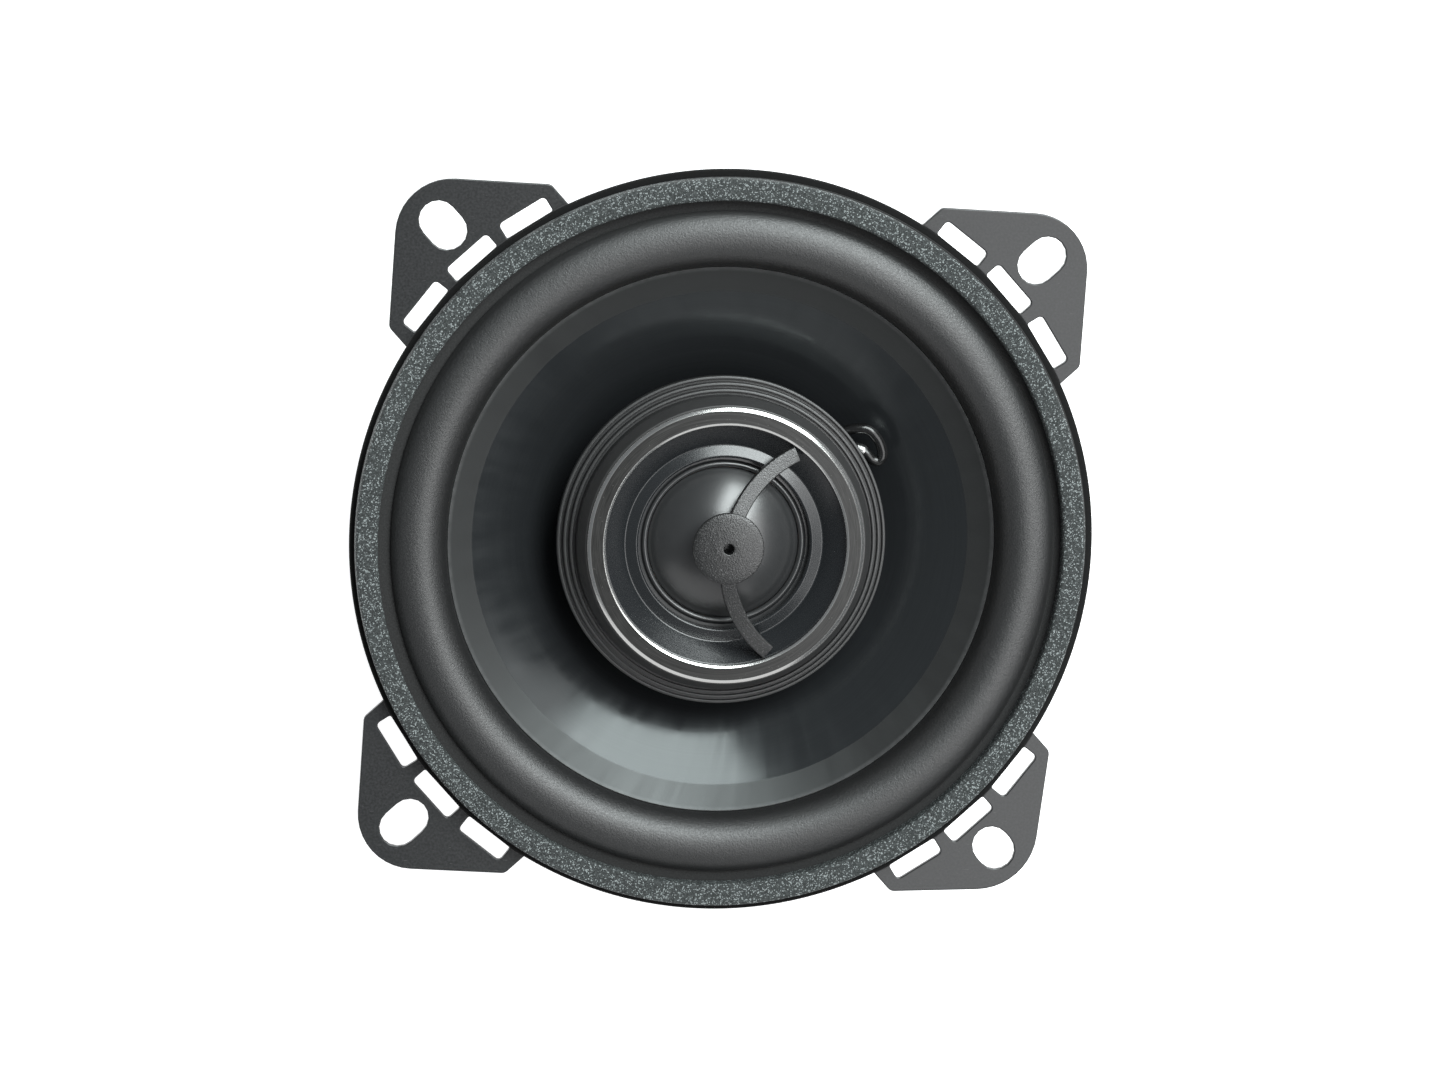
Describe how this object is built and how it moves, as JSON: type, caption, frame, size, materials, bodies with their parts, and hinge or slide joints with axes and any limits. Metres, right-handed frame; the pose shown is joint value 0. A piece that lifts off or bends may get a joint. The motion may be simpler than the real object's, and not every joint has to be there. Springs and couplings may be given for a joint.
{
  "type": "coaxial car speaker",
  "caption": "Round coaxial car speaker: a rubber-edged cone with a pod tweeter on a central post, a pressed steel basket with slotted mounting ears, and a rear ring magnet.",
  "frame": {"origin": "centre of the rear plate's back face, on the speaker's axis", "axes": "+Z along the speaker's axis, out of the cone; X and Y parallel to the mounting ears' edges, with the ears on the diagonals"},
  "size_m": [0.102, 0.102, 0.0507],
  "materials": {
    "powder_coat": "fine matte powder coat, dark grey",
    "zinc_steel": "zinc plated steel",
    "ferrite": "sintered ferrite, dark grey",
    "gasket_composite": "speckled grey composite",
    "surround_rubber": "matte black rubber",
    "cone_sheet": "glossy near-black polypropylene",
    "spider_cloth": "resin-treated woven cloth",
    "coil_former": "polyimide film former",
    "copper_wire": "enamelled copper winding",
    "pod_plastic": "satin black moulded plastic",
    "trim_gunmetal": "gunmetal ring with bright edges",
    "dome_film": "satin dark grey film",
    "plug_plastic": "fine-textured dark grey plastic",
    "black_wire": "glossy black insulated wire",
    "fibre_board": "pressed brown fibre board",
    "terminal_brass": "tinned brass",
    "tinsel_braid": "braided copper tinsel",
    "capacitor_sleeve": "dark blue shrink sleeve",
    "tinned_wire": "tinned copper wire",
    "magnet_nickel": "nickel plated magnet"
  },
  "bodies": {
    "chassis": {"yoke": "zinc_steel", "magnet": "ferrite", "top_plate": "zinc_steel", "basket_rivet_1": "zinc_steel", "basket_rivet_2": "zinc_steel", "basket_rivet_3": "zinc_steel", "basket_rivet_4": "zinc_steel", "basket": "powder_coat", "gasket": "gasket_composite", "surround": "surround_rubber", "spider": "spider_cloth", "tweeter_post": "zinc_steel", "post_screw": "zinc_steel", "tweeter_base": "pod_plastic", "tweeter_housing": "pod_plastic", "trim_ring": "trim_gunmetal", "waveguide": "pod_plastic", "tweeter_cup": "zinc_steel", "tweeter_magnet": "magnet_nickel", "tweeter_pole_plate": "zinc_steel", "tweeter_spacer": "pod_plastic", "dome_suspension": "dome_film", "phase_plug": "plug_plastic", "tweeter_lead": "black_wire", "terminal_board": "fibre_board", "board_rivet": "zinc_steel", "terminal_tab_positive": "terminal_brass", "terminal_rivet_positive": "zinc_steel", "terminal_tab_negative": "terminal_brass", "terminal_rivet_negative": "zinc_steel", "tinsel_lead_positive": "tinsel_braid", "tinsel_lead_negative": "tinsel_braid", "crossover_capacitor": "capacitor_sleeve", "capacitor_lead": "tinned_wire"},
    "cone_assembly": {"cone": "cone_sheet", "voice_coil_former": "coil_former", "voice_coil_winding": "copper_wire"},
    "tweeter_diaphragm": {"tweeter_dome": "dome_film", "tweeter_coil": "copper_wire"}
  },
  "joints": [
    {"name": "cone_excursion", "type": "slide", "parent": "chassis", "child": "cone_assembly", "axis": [0, 0, 1], "range_m": [-0.0025, 0.0025], "stiffness_N_per_m": 1700, "deforming": ["surround", "spider", "tinsel_lead_positive", "tinsel_lead_negative"]},
    {"name": "dome_excursion", "type": "slide", "parent": "chassis", "child": "tweeter_diaphragm", "axis": [0, 0, 1], "range_m": [-0.0002, 0.0002], "stiffness_N_per_m": 2000, "deforming": ["dome_suspension"]}
  ]
}
